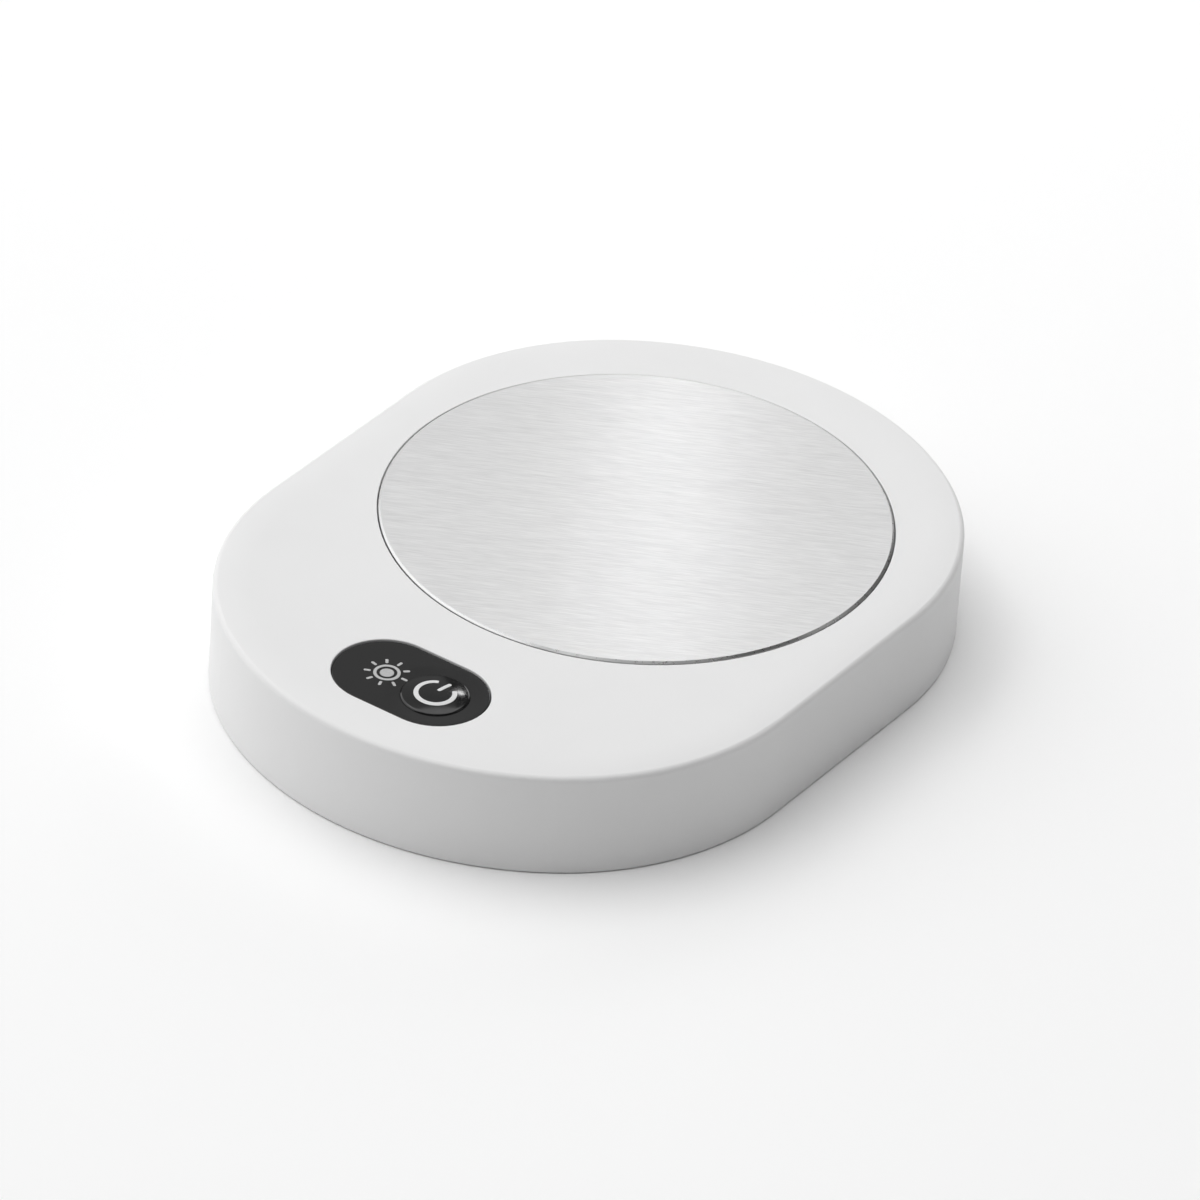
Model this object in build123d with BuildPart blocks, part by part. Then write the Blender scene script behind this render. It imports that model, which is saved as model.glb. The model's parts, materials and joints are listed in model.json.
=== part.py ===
from build123d import *
from math import atan2, cos, degrees, radians, sin, sqrt, tan
import os

# Electric mug warmer. Millimetres, +Z up, +Y towards the rear (inlet) end.
# Origin: centre of the plan, on the surface that the feet stand on.

# ---------------------------------------------------------------- driving sizes

# Overall form; the length is the sum of what lies along it, 140 in all
front_margin = 8.9          # front end of the body to the panel
panel_plate_gap = 11.5      # panel to heating plate
rear_margin = 12.6          # heating plate to the rear end
body_width = 107.0
overall_height = 20.0       # surface under the feet to the top of the heating plate
crown_excess = 3.2          # end arcs are this much larger in radius than half the width
shoulder_inset = 5.0        # shoulder arcs are centred this far either side of the long axis
wall = 2.2                  # side wall of the shell
roof = 2.2                  # top of the shell
plate_proud = 0.3           # heating plate stands this much above the shell
margin_width = 4.0          # sloping border round the flat top
margin_drop = 0.5
margin_blend = 30.0         # radius where the flat top turns into the border
edge_radius = 1.0           # edge between border and side wall
bottom_edge_radius = 0.3
ground_gap = 0.15           # side wall stops this far above the surface
opening_edge = 0.2          # small rounding of the openings in the top

# Heating plate and the stack that is clamped under it
plate_diameter = 88.4
plate_rim = 2.0             # thickness of the plate where it rests on the seat
plate_bevel = 0.35
plate_gap = 0.25            # gap between plate and shell
pad_depth = 1.2             # thicker middle of the plate, below the rim
shelf_width = 4.0           # seat under the rim, measured inwards from the plate's edge
shelf_thickness = 1.8
seat_wall = 1.6             # ring wall that carries the shelf
rib_thickness = 1.2         # ribs between the seat and the side wall, and gussets of the bosses
rib_count = 9
rib_first = -30.0           # angle of the first rib, from +X
rib_span = 240.0            # from the first rib round the rear to the last
gasket_thickness = 0.6
gasket_width = 2.8
stack_gap = 0.5             # play between the stack and the hole in the shelf
heater_thickness = 0.8
insulation_thickness = 2.0
pan_sheet = 0.8
pan_flange = 3.6
pan_wall_run = 0.7          # slope of the pan's wall, measured along the radius
pan_bend = 0.8              # bends of the pan, at the middle of the sheet
bead_width = 2.4
bead_depth = 0.6
clamp_inset = 9.0           # clamp screws stand this far inside the stack's edge
plate_tap_depth = 1.8       # tapped holes, up into the plate
lead_window = 5.0           # holes through which the heater leads pass

# Sensor and thermal fuse under the plate; their places are measured from the plate's centre
sensor_place = (11.0, -10.0)
sensor_flange_radius = 3.0
sensor_neck_radius = 2.2
sensor_hang = 0.8           # neck below the pan
first_terminal_place = (3.0, -28.0)
second_terminal_place = (-12.0, -4.0)
fuse_front_place = -22.5
fuse_diameter = 4.0
fuse_length = 11.0
fuse_edge = 0.4
clip_sheet = 0.5
clip_width = 4.0
clip_reach = 5.2            # rivet centre beside the fuse's axis
clip_bend = 0.6
clip_margin = 0.4           # tab beyond the rivet's head
rivet_shank_radius = 0.9
rivet_head_radius = 1.8
rivet_head_height = 0.6

# Control panel, button and light pipe
panel_border = 3.5          # panel's edge to the button's side
lens_spacing = 10.0         # button's centre to the indicator's
panel_gap = 0.1
panel_recess = 0.3          # panel face lies this much below the shell's top
panel_sheet = 1.5
panel_flange = 1.6
panel_flange_thickness = 1.5
panel_edge = 0.25
dish_radius = 8.4           # shallow hollow round the button
dish_depth = 0.35
button_diameter = 11.6
button_proud = 0.55
button_crown = 0.1          # height of the gently domed middle of the top
button_shoulder_run = 1.7   # rounded shoulder round that middle, along the radius
button_shoulder_drop = 0.7  # and down to the straight side
button_gap = 0.12           # play in the panel's bore
button_travel = 0.4
button_flange = 1.2
button_flange_room = 0.6    # between the flange and the pocket in the panel
button_flange_thickness = 1.0
button_wall = 1.3
button_stem = 4.0
contact_gap = 0.05          # between faces that meet as they move
key_width = 2.0
key_reach = 1.4             # key stands this far into the panel's pocket
key_gap = 0.25
lens_diameter = 2.4
lens_gap = 0.06
lens_collar = 1.0
lens_collar_thickness = 0.7
lens_light_gap = 0.2

# Control board and what stands on it
board_drop = 6.3            # shell's ceiling to the board's upper face
board_thickness = 1.6
board_depth = 27.0
board_shift = 3.6           # board centre behind the panel centre
board_corner = 3.0
board_boss = 5.8
board_boss_gap = 0.8        # between a boss and the panel's flange
board_edge_margin = 0.9     # board edge beyond its bosses
board_screw_spacing = 19.0  # along Y
boss_roof = 1.0             # a board boss stays solid this far below the shell's ceiling
switch_size = 6.2
switch_corner = 0.4
switch_height = 3.2
switch_cover_sheet = 0.25
plunger_diameter = 3.4
plunger_depth = 1.5         # plunger inside the switch at rest
plunger_spare = 0.45        # plunger still stands this far out when it is pressed
plunger_edge = 0.2
led_diameter = 3.0
led_height = 4.4
led_dome = 1.2
led_flange = 0.4
led_flange_thickness = 1.0
chip_length = 4.9
chip_depth = 3.9
chip_height = 1.5
chip_leg_width = 0.4
chip_leg_reach = 1.0
chip_leg_thickness = 0.2
chip_leg_pitch = 1.27
chip_shift = 5.0            # chip behind the board's centre
transistor_width = 6.6
transistor_depth = 6.1
transistor_height = 2.3
transistor_edge = 0.25
transistor_tab_width = 5.3
transistor_tab_reach = 1.2
transistor_tab_thickness = 0.5
transistor_shift = (3.0, 6.6)   # from the switch's centre line and the board's centre
capacitor_diameter = 5.0
capacitor_height = 4.4
capacitor_base_height = 0.6
capacitor_base_corner = 0.8
capacitor_inset = 0.3       # base inside the board's rear edge
resistor_length = 2.0
resistor_depth = 1.25
resistor_height = 0.5
resistor_pitch = 4.2
resistor_count = 7
resistor_inset = 3.0        # row behind the board's front edge
connector_width = 6.5
connector_depth = 6.0
connector_height = 4.0
connector_edge = 0.6
connector_spacing = 14.0
contact_pitch = 2.5
socket_depth = 2.0

# Power inlet in the rear wall
inlet_width = 8.94
inlet_height = 3.26
inlet_sheet = 0.3
inlet_length = 7.3
inlet_gap = 0.2
inlet_recess = 1.2          # mouth lies this far inside the rear wall's outer face
inlet_recess_width = 12.6
inlet_recess_height = 6.6
tongue_width = 6.7
tongue_thickness = 0.7
tongue_length = 4.6
tongue_base = 1.6           # block that closes the socket's rear
tongue_edge = 0.2
inlet_board_width = 25.0
inlet_board_depth = 9.4
inlet_board_thickness = 1.2
inlet_board_corner = 1.0
inlet_board_lift = 2.9      # inlet board above the cover's floor
inlet_board_gap = 0.4       # between the board's corners and the rear wall
inlet_screw_spacing = 18.0

# Bottom cover and feet
cover_thickness = 2.0
cover_recess = 0.3          # cover lies this much inside the wall's lower edge
cover_gap = 0.15
lip_thickness = 1.2
lip_height = 2.0
cup_radius = 4.2
cup_floor = 1.5
cup_height = 4.5
boss_radius = 3.2
boss_clearance = 0.7        # rear bosses stand this far outside the clamp pan
front_boss_side = 15.0      # front bosses inside the body's side
front_boss_inset = 39.0     # and behind its front end
boss_screw_length = 8.0
boss_hole_spare = 1.0       # hole beyond the screw's tip
gusset_span = 12.8
foot_diameter = 10.0
foot_thickness = 1.6
foot_gap = 0.1
foot_edge = 0.4
front_foot_side = 25.0      # front feet inside the body's side
front_foot_inset = 20.0     # and behind its front end
rear_foot_side = 13.0
rear_foot_inset = 38.0      # ahead of the rear end
vent_width = 1.6
vent_length = 16.0
vent_pitch = 4.4
vent_count = 7
vent_spread = 22.0          # the two vent fields lie this far either side of the long axis
guide_x = -36.0             # fins that keep the power leads in place
guide_places = (3.2, -3.2)  # along Y, from the plate's centre
guide_height = 3.0
guide_length = 5.0
guide_thickness = 0.8

# Screws: radius of head, height of head, radius of shank
cover_screw = (2.7, 1.8, 1.25)
clamp_screw = (2.75, 1.8, 1.5)
board_screw = (2.0, 1.4, 0.95)
board_screw_bite = 3.8      # board screw inside its boss
inlet_screw_spare = 0.4     # inlet screw's tip above the cover's floor
screw_play = 0.05
screw_clearance = 0.3

# Leads
power_lead = 1.6
heater_wire = 1.4
sensor_wire = 0.9
sensor_wire_pitch = 1.35
lead_play = 0.1

# ---------------------------------------------------------------- levels and radii that follow

plate_radius = plate_diameter / 2
button_radius = button_diameter / 2
panel_width = button_diameter + 2 * panel_border
panel_length = panel_width + lens_spacing
body_length = front_margin + panel_width + panel_plate_gap + plate_diameter + rear_margin
front_end = -body_length / 2
rear_end = body_length / 2
panel_y = front_end + front_margin + panel_width / 2
plate_y = rear_end - rear_margin - plate_radius

plate_top = overall_height
top_face = plate_top - plate_proud
ceiling = top_face - roof
wall_bottom = ground_gap
cover_bottom = wall_bottom + cover_recess
cover_floor = cover_bottom + cover_thickness
cup_top = cover_bottom + cup_height

rim_bottom = plate_top - plate_rim
shelf_top = rim_bottom - gasket_thickness
shelf_bottom = shelf_top - shelf_thickness
bore_radius = plate_radius + plate_gap
seat_radius = bore_radius + seat_wall
shelf_radius = plate_radius - shelf_width
pad_radius = shelf_radius - stack_gap
pad_bottom = rim_bottom - pad_depth
heater_bottom = pad_bottom - heater_thickness
insulation_bottom = heater_bottom - insulation_thickness
pan_bottom = insulation_bottom - pan_sheet
stack_radius = pad_radius - 2 * stack_gap
clamp_radius = stack_radius - clamp_inset
pan_radius = shelf_radius + pan_flange - pan_wall_run / 2

panel_top = top_face - panel_recess
panel_underside = panel_top - panel_sheet
panel_flange_bottom = ceiling - panel_flange_thickness
pocket_width = button_diameter + 2 * (button_flange + button_flange_room)
pocket_length = pocket_width + lens_spacing
button_spot = (lens_spacing / 2, panel_y)
lens_spot = (-lens_spacing / 2, panel_y)
button_top = panel_top + button_proud
flange_top = panel_underside - contact_gap

board_top = ceiling - board_drop
board_bottom = board_top - board_thickness
board_y = panel_y + board_shift
board_rear = board_y + board_depth / 2
board_screw_x = panel_length / 2 + panel_flange + board_boss_gap + board_boss / 2
board_width = 2 * (board_screw_x + board_boss / 2 + board_edge_margin)
switch_top = board_top + switch_height
plunger_top = switch_top + switch_cover_sheet + button_travel + plunger_spare
plunger_bottom = switch_top - plunger_depth
led_top = board_top + led_height
connector_z = board_bottom - connector_height / 2

inlet_board_bottom = cover_floor + inlet_board_lift
inlet_board_top = inlet_board_bottom + inlet_board_thickness
inlet_z = inlet_board_top + inlet_height / 2
inlet_mouth = rear_end - inlet_recess
crown_radius = body_width / 2 + crown_excess
crown_centre = rear_end - crown_radius
wall_reach = sqrt((crown_radius - wall) ** 2 - (inlet_board_width / 2) ** 2)
inlet_board_y = crown_centre + wall_reach - inlet_board_gap - inlet_board_depth / 2

front_boss_x = body_width / 2 - front_boss_side
front_boss_y = front_end + front_boss_inset
rear_boss_reach = (pan_radius + boss_clearance + boss_radius) * sin(radians(45))
cover_screw_spots = [
    (-rear_boss_reach, plate_y + rear_boss_reach),
    (rear_boss_reach, plate_y + rear_boss_reach),
    (-front_boss_x, front_boss_y),
    (front_boss_x, front_boss_y),
]
clamp_screw_spots = [
    (clamp_radius * cos(radians(turn)), plate_y + clamp_radius * sin(radians(turn)))
    for turn in (45, 135, 225, 315)
]
board_screw_spots = [
    (side * board_screw_x, board_y + end * board_screw_spacing / 2) for side in (-1, 1) for end in (-1, 1)
]
inlet_screw_spots = [(-inlet_screw_spacing / 2, inlet_board_y), (inlet_screw_spacing / 2, inlet_board_y)]
front_foot_x = body_width / 2 - front_foot_side
front_foot_y = front_end + front_foot_inset
rear_foot_x = body_width / 2 - rear_foot_side
rear_foot_y = rear_end - rear_foot_inset
foot_spots = {
    "foot_front_left": (-front_foot_x, front_foot_y),
    "foot_front_right": (front_foot_x, front_foot_y),
    "foot_rear_left": (-rear_foot_x, rear_foot_y),
    "foot_rear_right": (rear_foot_x, rear_foot_y),
}

first_terminal = (first_terminal_place[0], plate_y + first_terminal_place[1])
second_terminal = (second_terminal_place[0], plate_y + second_terminal_place[1])
sensor_spot = (sensor_place[0], plate_y + sensor_place[1])
fuse_front = plate_y + fuse_front_place
fuse_radius = fuse_diameter / 2
fuse_z = pan_bottom - fuse_radius - screw_play
rivet_spot = (second_terminal[0] + clip_reach, fuse_front + fuse_length / 2)


# ---------------------------------------------------------------- shared drawing helpers

def level(height):
    """Horizontal plane at this height."""
    return Plane.XY.offset(height)


def upright(spot):
    """Vertical plane through a spot of the plan: its x runs along +X, its y runs up."""
    return Plane(origin=(spot[0], spot[1], 0), x_dir=(1, 0, 0), z_dir=(0, -1, 0))


def axis_at(spot):
    """Vertical axis through a spot of the plan."""
    return Axis((spot[0], spot[1], 0), (0, 0, 1))


def facing_rear(y, height):
    """Vertical plane across the body at y, facing the rear."""
    return Plane(origin=(0, y, height), x_dir=(1, 0, 0), z_dir=(0, 1, 0))


def body_plan(inset=0.0, mode=Mode.ADD):
    """Draw the body's outline in the open sketch, this far inside the outer face of the wall.

    Each end is a crown arc centred on the long axis, joined to the straight sides by two smaller
    shoulder arcs. One quarter is drawn and mirrored.
    """
    crown = crown_radius - inset
    shoulder = body_width / 2 - shoulder_inset - inset
    crown_y = rear_end - inset - crown
    rise = sqrt((crown - shoulder) ** 2 - shoulder_inset**2)
    turn = degrees(atan2(rise, shoulder_inset))
    with BuildLine() as outline:
        Line((body_width / 2 - inset, 0), (body_width / 2 - inset, crown_y + rise))
        CenterArc((shoulder_inset, crown_y + rise), shoulder, 0, turn)
        CenterArc((0, crown_y), crown, turn, 90 - turn)
        mirror(about=Plane.YZ)
        mirror(about=Plane.XZ)
    make_face(outline.edges(), mode=mode)


def screw(size, length):
    """Pan-head screw with a cross recess. The underside of the head is at the origin, shank up."""
    head_radius, head_height, shank_radius = size
    with BuildPart() as fastener:
        Cylinder(head_radius, head_height, align=(Align.CENTER, Align.CENTER, Align.MAX))
        chamfer(fastener.edges().sort_by(Axis.Z)[0], head_height * 0.35)
        Cylinder(shank_radius, length, align=(Align.CENTER, Align.CENTER, Align.MIN))
        chamfer(fastener.edges().sort_by(Axis.Z)[-1], shank_radius * 0.4)
        with BuildSketch(level(-head_height)):
            Rectangle(head_radius * 1.1, head_radius * 0.22)
            Rectangle(head_radius * 0.22, head_radius * 1.1)
        extrude(amount=head_height * 0.55, mode=Mode.SUBTRACT)
    return fastener.part


def screw_set(size, length, spots, height):
    """The same screw at every spot, as separate solids of one piece."""
    one = screw(size, length)
    with BuildPart() as group:
        with Locations(*[(x, y, height) for x, y in spots]):
            add(one)
    return group


def bend_radii(points, share=0.35):
    """Even bends for a route of straight runs: each takes this share of its shorter run."""
    stops = [Vector(*point) for point in points]
    radii = []
    for before, here, after in zip(stops, stops[1:], stops[2:]):
        shorter = min((here - before).length, (after - here).length)
        half_turn = radians((here - before).get_angle(after - here)) / 2
        radii.append(share * shorter / tan(half_turn))
    return radii


def lead(points, diameter):
    """Insulated wire along a route, rounded at each inner point."""
    with BuildPart() as wire:
        with BuildLine():
            route = FilletPolyline(*points, radius=bend_radii(points))
        with BuildSketch(Plane(origin=route @ 0, z_dir=route % 0)):
            Circle(diameter / 2)
        sweep(path=route)
    return wire


def connector(x, diameter):
    """Two-pin plug housing under the board's rear edge, with a hole for each lead."""
    with BuildPart() as housing:
        with BuildSketch(level(board_bottom)):
            with Locations((x, board_rear - connector_depth / 2)):
                Rectangle(connector_width, connector_depth)
        extrude(amount=-connector_height)
        chamfer(housing.edges().filter_by(Axis.Y).group_by(Axis.Z)[0], connector_edge)
        with BuildSketch(facing_rear(board_rear, connector_z)):
            with Locations((x - contact_pitch / 2, 0), (x + contact_pitch / 2, 0)):
                Circle(diameter / 2 + lead_play)
        extrude(amount=-socket_depth, mode=Mode.SUBTRACT)
    return housing


def finish(piece, name):
    """Name a finished piece and write its file."""
    piece.part.label = name
    export_step(piece.part, f"parts/{name}.step")


os.makedirs("parts", exist_ok=True)

# ---------------------------------------------------------------- housing

# Moulded top shell: side wall and top in one, with the plate's seat, bosses and ribs inside.
with BuildPart() as top_shell:
    with BuildSketch(level(wall_bottom)):
        body_plan()
    extrude(amount=top_face - wall_bottom)
    flat_top = top_shell.faces().sort_by(Axis.Z)[-1]
    chamfer(flat_top.outer_wire().edges(), margin_width, margin_drop, reference=flat_top)
    flat_top = top_shell.faces().sort_by(Axis.Z)[-1]
    fillet(flat_top.outer_wire().edges(), margin_blend)
    edge_level = top_face - margin_drop
    fillet(top_shell.edges().filter_by_position(Axis.Z, edge_level - 0.01, edge_level + 0.01), edge_radius)
    fillet(top_shell.faces().sort_by(Axis.Z)[0].outer_wire().edges(), bottom_edge_radius)

    with BuildSketch(level(wall_bottom)):
        body_plan(wall)
    extrude(amount=ceiling - wall_bottom, mode=Mode.SUBTRACT)

    # Round seat for the heating plate
    with BuildSketch(level(shelf_bottom)):
        with Locations((0, plate_y)):
            Circle(seat_radius)
        body_plan(wall / 2, mode=Mode.INTERSECT)
    extrude(amount=ceiling - shelf_bottom)

    # Radial ribs between the seat and the side wall
    with BuildSketch(level(shelf_bottom)):
        with Locations((0, plate_y)):
            with PolarLocations(body_length / 2, rib_count, start_angle=rib_first, angular_range=rib_span,
                                endpoint=True):
                Rectangle(body_length, rib_thickness)
        body_plan(wall / 2, mode=Mode.INTERSECT)
        with Locations((0, plate_y)):
            Circle(seat_radius - seat_wall / 2, mode=Mode.SUBTRACT)
    extrude(amount=ceiling - shelf_bottom)

    # Bosses for the cover screws; the front ones have two crossed gussets
    with BuildSketch(level(cup_top)):
        with Locations(*cover_screw_spots):
            Circle(boss_radius)
        body_plan(wall / 2, mode=Mode.INTERSECT)
    extrude(amount=ceiling - cup_top)
    with BuildSketch(level(shelf_bottom)):
        with Locations(*cover_screw_spots[2:]):
            Rectangle(gusset_span, rib_thickness)
            Rectangle(rib_thickness, gusset_span)
        body_plan(wall / 2, mode=Mode.INTERSECT)
    extrude(amount=ceiling - shelf_bottom)
    with BuildSketch(level(cup_top)):
        with Locations(*cover_screw_spots):
            Circle(cover_screw[2] + screw_play)
    extrude(amount=boss_screw_length + boss_hole_spare, mode=Mode.SUBTRACT)

    # Bosses that the control board hangs from
    with BuildSketch(level(board_top)):
        with Locations(*board_screw_spots):
            Circle(board_boss / 2)
    extrude(amount=board_drop)
    with BuildSketch(level(board_top)):
        with Locations(*board_screw_spots):
            Circle(board_screw[2] + screw_play)
    extrude(amount=board_drop - boss_roof, mode=Mode.SUBTRACT)

    # Openings in the top
    with Locations((0, plate_y, top_face)):
        CounterBoreHole(shelf_radius, bore_radius, top_face - shelf_top)
    with BuildSketch(level(top_face)):
        with Locations((0, panel_y)):
            SlotOverall(panel_length + 2 * panel_gap, panel_width + 2 * panel_gap)
    extrude(amount=-roof, mode=Mode.SUBTRACT)
    for opening in top_shell.faces().sort_by(Axis.Z)[-1].inner_wires():
        fillet(opening.edges(), opening_edge)

    # Inlet in the rear wall: a shallow recess for a plug's moulding round the socket's opening
    with BuildSketch(facing_rear(rear_end, inlet_z)):
        SlotOverall(inlet_recess_width, inlet_recess_height)
    extrude(amount=-inlet_recess, mode=Mode.SUBTRACT)
    with BuildSketch(facing_rear(rear_end, inlet_z)):
        SlotOverall(inlet_width + 2 * inlet_gap, inlet_height + 2 * inlet_gap)
    extrude(amount=-2 * wall, mode=Mode.SUBTRACT)
finish(top_shell, "top_shell")

# Bottom cover: floor with a locating lip, screw cups, foot pockets, vents and lead guides.
with BuildPart() as bottom_cover:
    with BuildSketch(level(cover_bottom)):
        body_plan(wall + cover_gap)
    extrude(amount=cover_thickness)
    with BuildSketch(level(cover_floor)):
        body_plan(wall + cover_gap)
        body_plan(wall + cover_gap + lip_thickness, mode=Mode.SUBTRACT)
    extrude(amount=lip_height)
    with BuildSketch(level(cover_bottom)):
        with Locations(*cover_screw_spots):
            Circle(cup_radius)
        body_plan(wall + cover_gap, mode=Mode.INTERSECT)
    extrude(amount=cup_height)
    with BuildSketch(level(cover_bottom)):
        with Locations(*cover_screw_spots):
            Circle(cover_screw[0] + screw_clearance)
    extrude(amount=cup_height - cup_floor, mode=Mode.SUBTRACT)
    with BuildSketch(level(cover_bottom)):
        with Locations(*cover_screw_spots):
            Circle(cover_screw[2] + screw_clearance)
    extrude(amount=cup_height, mode=Mode.SUBTRACT)

    # Posts for the inlet board
    with BuildSketch(level(cover_floor)):
        with Locations(*inlet_screw_spots):
            Circle(board_boss / 2)
    extrude(amount=inlet_board_lift)
    with BuildSketch(level(inlet_board_bottom)):
        with Locations(*inlet_screw_spots):
            Circle(board_screw[2] + screw_play)
    extrude(amount=-inlet_board_lift, mode=Mode.SUBTRACT)

    # Fins that keep the power leads in place, one each side and one between the two
    guide_ys = [plate_y + place for place in guide_places]
    with BuildSketch(level(cover_floor)):
        with Locations(*[(guide_x + n * contact_pitch, y) for n in (-1, 0, 1) for y in guide_ys]):
            Rectangle(guide_thickness, guide_length)
    extrude(amount=guide_height)

    # Foot pockets and vent slots
    with BuildSketch(level(cover_bottom)):
        with Locations(*foot_spots.values()):
            Circle(foot_diameter / 2 + foot_gap)
    extrude(amount=foot_thickness - cover_bottom, mode=Mode.SUBTRACT)
    with BuildSketch(level(cover_bottom)):
        with Locations((vent_spread, plate_y), (-vent_spread, plate_y)):
            with GridLocations(0, vent_pitch, 1, vent_count):
                SlotOverall(vent_length, vent_width)
    extrude(amount=cover_thickness, mode=Mode.SUBTRACT)
finish(bottom_cover, "bottom_cover")

for name, spot in foot_spots.items():
    with BuildPart() as foot:
        with BuildSketch():
            with Locations(spot):
                Circle(foot_diameter / 2)
        extrude(amount=foot_thickness)
        fillet(foot.edges().sort_by(Axis.Z)[0], foot_edge)
    finish(foot, name)

finish(screw_set(cover_screw, boss_screw_length + cup_floor, cover_screw_spots, cup_top - cup_floor),
       "cover_screws")

# ---------------------------------------------------------------- heating plate and its stack

# Plate: thin rim that rests on the gasket, thicker middle with four blind tapped holes.
with BuildPart() as heating_plate:
    with BuildSketch(level(rim_bottom)):
        with Locations((0, plate_y)):
            Circle(plate_radius)
    extrude(amount=plate_rim)
    chamfer(heating_plate.edges().sort_by(Axis.Z)[-1], plate_bevel)
    with BuildSketch(level(pad_bottom)):
        with Locations((0, plate_y)):
            Circle(pad_radius)
    extrude(amount=pad_depth)
    with BuildSketch(level(pad_bottom)):
        with Locations(*clamp_screw_spots):
            Circle(clamp_screw[2] + screw_play)
    extrude(amount=plate_tap_depth, mode=Mode.SUBTRACT)
finish(heating_plate, "heating_plate")

with BuildPart() as plate_gasket:
    with BuildSketch(level(shelf_top)):
        with Locations((0, plate_y)):
            Circle(plate_radius - plate_gap)
            Circle(plate_radius - plate_gap - gasket_width, mode=Mode.SUBTRACT)
    extrude(amount=gasket_thickness)
finish(plate_gasket, "plate_gasket")

with BuildPart() as heater_disc:
    with BuildSketch(level(heater_bottom)):
        with Locations((0, plate_y)):
            Circle(stack_radius)
        with Locations(*clamp_screw_spots):
            Circle(clamp_screw[2] + screw_clearance, mode=Mode.SUBTRACT)
    extrude(amount=heater_thickness)
finish(heater_disc, "heater_disc")

with BuildPart() as insulation_pad:
    with BuildSketch(level(insulation_bottom)):
        with Locations((0, plate_y)):
            Circle(stack_radius)
        with Locations(*clamp_screw_spots):
            Circle(clamp_screw[2] + screw_clearance, mode=Mode.SUBTRACT)
        with Locations(first_terminal, second_terminal):
            Circle(lead_window / 2, mode=Mode.SUBTRACT)
        with Locations(sensor_spot):
            Circle(sensor_flange_radius + screw_clearance, mode=Mode.SUBTRACT)
    extrude(amount=insulation_thickness)
    # Hollow over the rivet's upper head
    with BuildSketch(level(insulation_bottom)):
        with Locations(rivet_spot):
            Circle(rivet_head_radius + screw_clearance)
    extrude(amount=rivet_head_height + screw_clearance, mode=Mode.SUBTRACT)
finish(insulation_pad, "insulation_pad")

# Pressed pan: floor under the insulation, stiffening bead, sloping wall, flange against the shelf.
with BuildPart() as clamp_pan:
    floor_line = pan_bottom + pan_sheet / 2
    flange_line = shelf_bottom - pan_sheet / 2
    wall_foot = shelf_radius - pan_wall_run
    bead_middle = (clamp_radius + clamp_screw[0] + wall_foot) / 2
    with BuildSketch(upright((0, plate_y))):
        with BuildLine():
            FilletPolyline(
                (0, floor_line),
                (bead_middle - bead_width / 2, floor_line),
                (bead_middle - bead_width / 4, floor_line - bead_depth),
                (bead_middle + bead_width / 4, floor_line - bead_depth),
                (bead_middle + bead_width / 2, floor_line),
                (wall_foot, floor_line),
                (shelf_radius, flange_line),
                (pan_radius, flange_line),
                radius=pan_bend,
            )
        trace(line_width=pan_sheet)
    revolve(axis=axis_at((0, plate_y)))
    with BuildSketch(level(pan_bottom)):
        with Locations(*clamp_screw_spots):
            Circle(clamp_screw[2] + screw_clearance)
        with Locations(first_terminal, second_terminal):
            Circle(lead_window / 2)
        with Locations(sensor_spot):
            Circle(sensor_neck_radius + screw_clearance)
        with Locations(rivet_spot):
            Circle(rivet_shank_radius + screw_play)
    extrude(amount=pan_sheet, mode=Mode.SUBTRACT)
finish(clamp_pan, "clamp_pan")

clamp_screw_length = pad_bottom + plate_tap_depth - screw_clearance - pan_bottom
finish(screw_set(clamp_screw, clamp_screw_length, clamp_screw_spots, pan_bottom), "clamp_screws")

# Temperature sensor: flanged cup trapped between the heater and the pan.
with BuildPart() as thermistor:
    with BuildSketch(level(insulation_bottom)):
        with Locations(sensor_spot):
            Circle(sensor_flange_radius)
    extrude(amount=insulation_thickness)
    with BuildSketch(level(pan_bottom - sensor_hang)):
        with Locations(sensor_spot):
            Circle(sensor_neck_radius)
    extrude(amount=pan_sheet + sensor_hang)
finish(thermistor, "thermistor")

# Thermal fuse lying against the pan, held by a riveted strap.
with BuildPart() as thermal_fuse:
    with BuildSketch(facing_rear(fuse_front, fuse_z)):
        with Locations((second_terminal[0], 0)):
            Circle(fuse_radius)
    extrude(amount=fuse_length)
    chamfer(thermal_fuse.edges().filter_by(GeomType.CIRCLE), fuse_edge)
finish(thermal_fuse, "thermal_fuse")

with BuildPart() as fuse_clip:
    strap_radius = fuse_radius + screw_play + clip_sheet / 2
    tab_line = clip_sheet / 2
    drop = fuse_radius + screw_play
    with BuildSketch(Plane(origin=(second_terminal[0], rivet_spot[1] - clip_width / 2, pan_bottom),
                           x_dir=(1, 0, 0), z_dir=(0, -1, 0))):
        with BuildLine():
            tab = Line(
                (clip_reach + rivet_head_radius + clip_margin, -tab_line),
                (strap_radius + clip_bend, -tab_line),
            )
            side = Line((strap_radius, -tab_line - clip_bend), (strap_radius, -drop))
            TangentArc(tab @ 1, side @ 0, tangent=tab % 1)
            ThreePointArc(side @ 1, (0, -drop - strap_radius), (-strap_radius, -drop))
        trace(line_width=clip_sheet)
    extrude(amount=-clip_width)
    with BuildSketch(level(pan_bottom)):
        with Locations(rivet_spot):
            Circle(rivet_shank_radius + screw_play)
    extrude(amount=-clip_sheet, mode=Mode.SUBTRACT)
finish(fuse_clip, "fuse_clip")

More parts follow.
